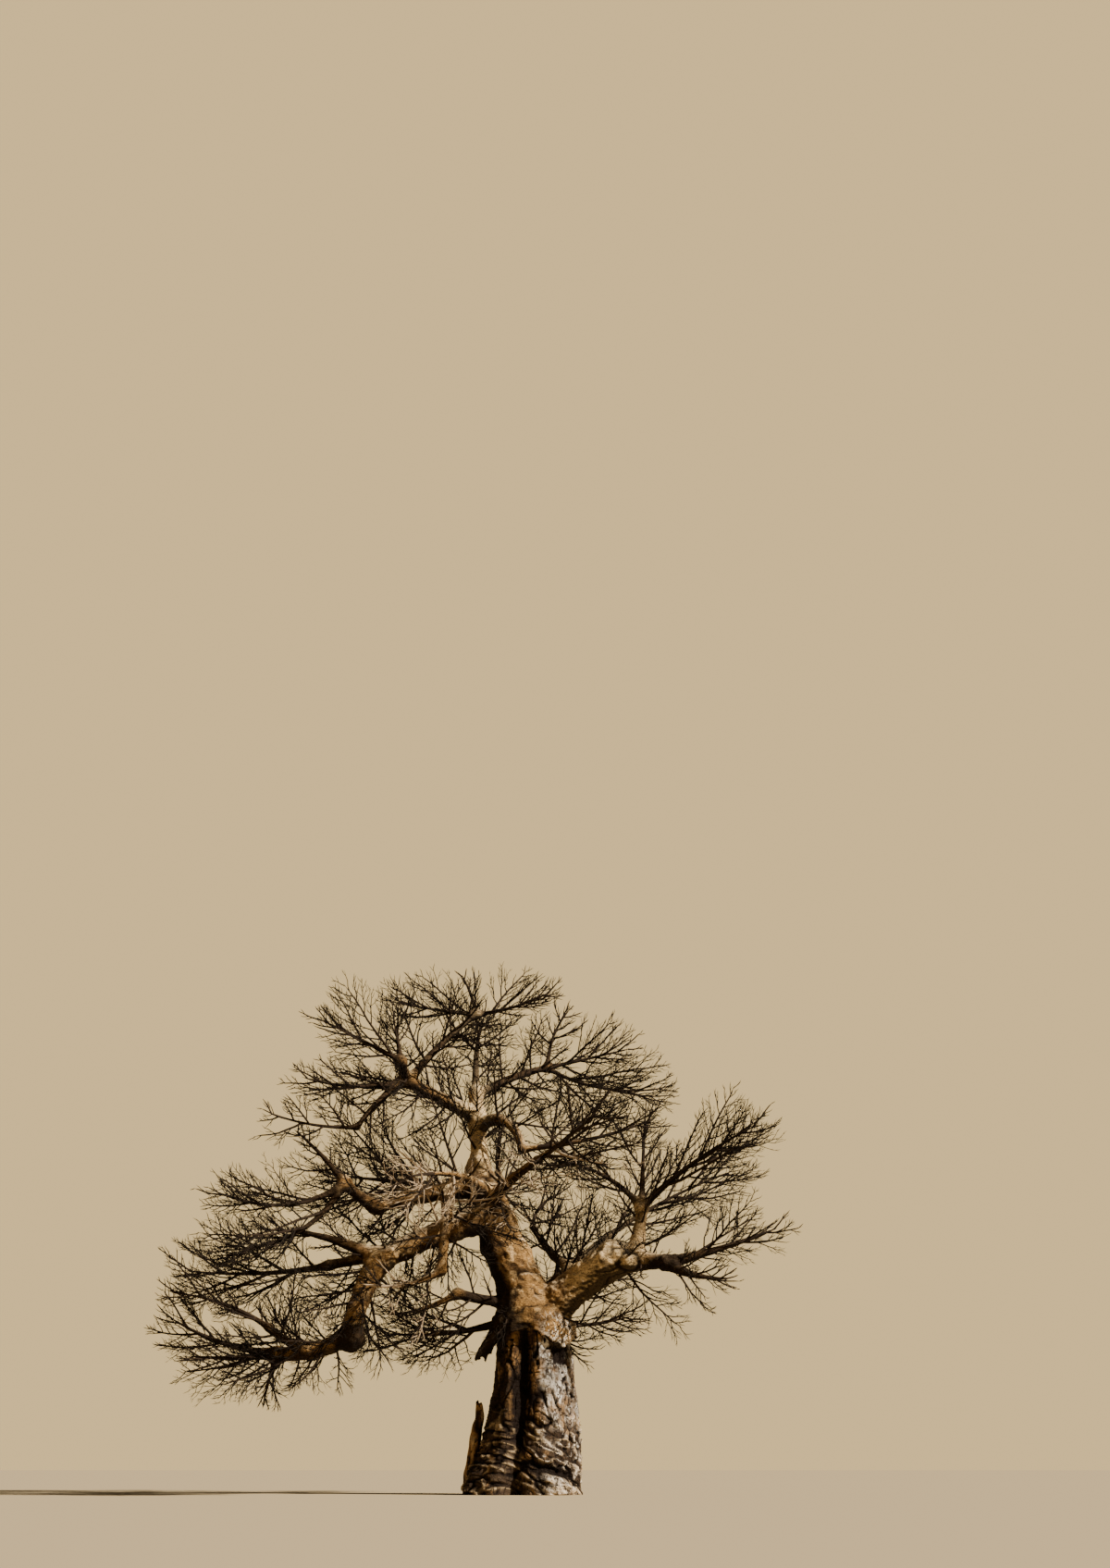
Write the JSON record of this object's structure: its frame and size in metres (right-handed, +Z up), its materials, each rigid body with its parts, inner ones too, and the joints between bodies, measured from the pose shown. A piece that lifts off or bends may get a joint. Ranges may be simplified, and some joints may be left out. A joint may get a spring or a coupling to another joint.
{
  "type": "baobab tree",
  "caption": "Leafless baobab tree with a stout fluted trunk, thick bent boughs and wide masses of bare twigs, cut flat at ground level.",
  "frame": {"origin": "middle of the trunk's flat cut at ground level", "axes": "+Z up, +X to the right in the pictured view, +Y away from that view"},
  "size_m": [19.2217, 15.536, 16.3476],
  "materials": {
    "bark": "rough bark",
    "twigs": "matt twigs"
  },
  "bodies": {
    "root": {"trunk": "bark", "leader": "bark", "upper_left_bough": "bark", "summit_bough": "bark", "crook_bough": "bark", "left_drop_bough": "bark", "upper_right_bough": "bark", "elbow_bough": "bark", "shoulder_bough": "bark", "shoulder_reach": "bark", "low_left_bough": "bark", "low_left_drop": "bark", "low_left_arm": "bark", "low_left_high": "bark", "mid_left_bough": "bark", "front_droop_bough": "bark", "spur_bough": "bark", "low_right_bough": "bark", "low_right_reach": "bark", "right_upright": "bark", "back_right_bough": "bark", "back_stub_bough": "bark", "back_bough": "bark", "front_right_bough": "bark", "summit_twigs": "twigs", "summit_left_twigs": "twigs", "summit_right_twigs": "twigs", "crest_left_twigs": "twigs", "crest_up_twigs": "twigs", "brow_left_twigs": "twigs", "left_drop_twigs": "twigs", "crest_right_up_twigs": "twigs", "crest_right_twigs": "twigs", "right_eave_twigs": "twigs", "back_top_twigs": "twigs", "heart_right_twigs": "twigs", "shoulder_up_twigs": "twigs", "far_left_twigs": "twigs", "left_lower_twigs": "twigs", "inner_left_twigs": "twigs", "mid_left_twigs": "twigs", "low_left_high_twigs": "twigs", "far_tip_twigs": "twigs", "skirt_twigs": "twigs", "hanging_twigs": "twigs", "front_droop_twigs": "twigs", "front_twigs": "twigs", "spur_twigs": "twigs", "low_back_twigs": "twigs", "low_right_far_twigs": "twigs", "low_right_under_twigs": "twigs", "right_high_twigs": "twigs", "right_inner_twigs": "twigs", "right_up_twigs": "twigs", "back_right_twigs": "twigs", "back_stub_twigs": "twigs", "back_twigs": "twigs", "back_left_twigs": "twigs", "front_right_twigs": "twigs", "lip_twigs": "twigs"}
  },
  "joints": []
}
